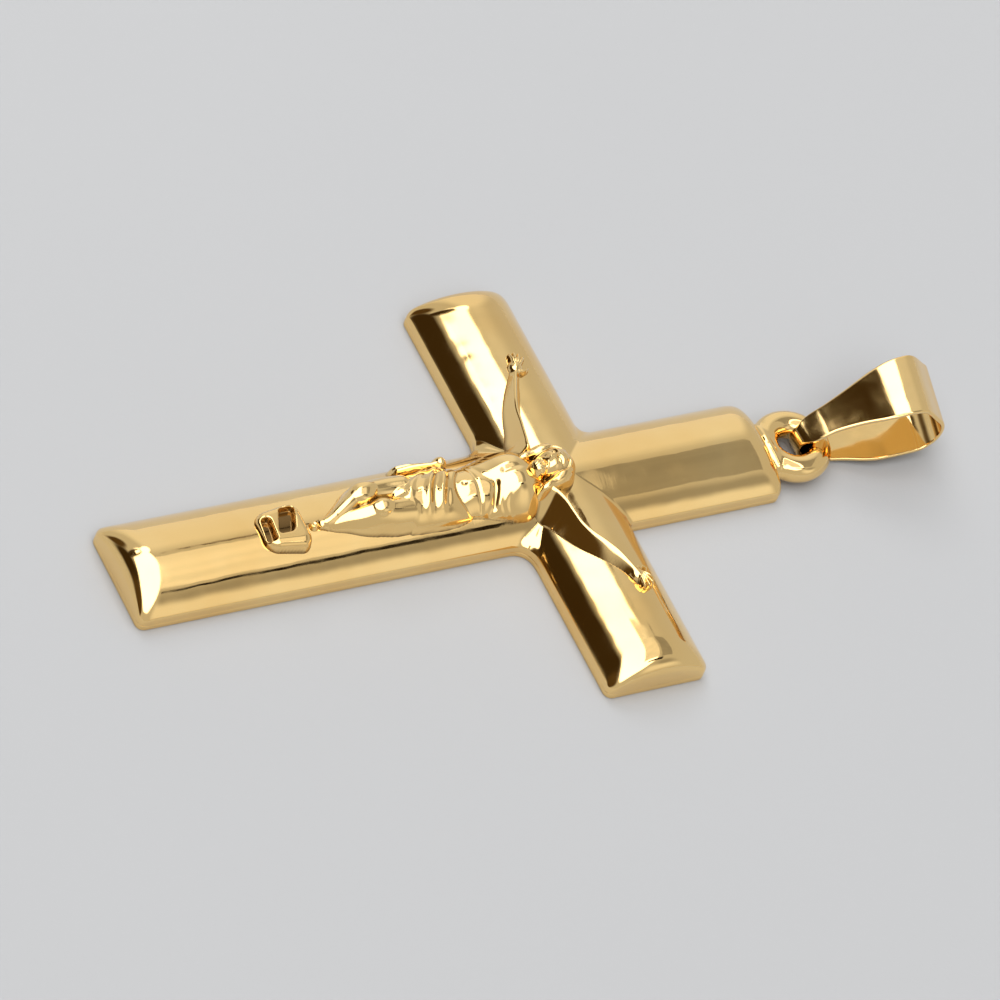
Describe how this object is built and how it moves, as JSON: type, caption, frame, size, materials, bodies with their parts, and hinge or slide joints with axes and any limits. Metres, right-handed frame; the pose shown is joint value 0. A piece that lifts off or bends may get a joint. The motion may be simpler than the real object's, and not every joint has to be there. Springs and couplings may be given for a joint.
{
  "type": "crucifix pendant",
  "caption": "Gold crucifix pendant: a domed cross with a raised figure and foot rest, a round ring soldered to its top and a tapered folded bail that rides on the ring.",
  "frame": {"origin": "middle of the whole pendant's box at the height of its flat back", "axes": "+Y along the long bar towards the bail, +X across to the wearer's left arm of the cross, +Z out of the front"},
  "size_m": [0.022, 0.0418, 0.0037],
  "materials": {
    "gold": "polished yellow gold with fine wear scratches"
  },
  "bodies": {
    "root": {"cross": "gold", "bail": "gold"}
  },
  "joints": []
}
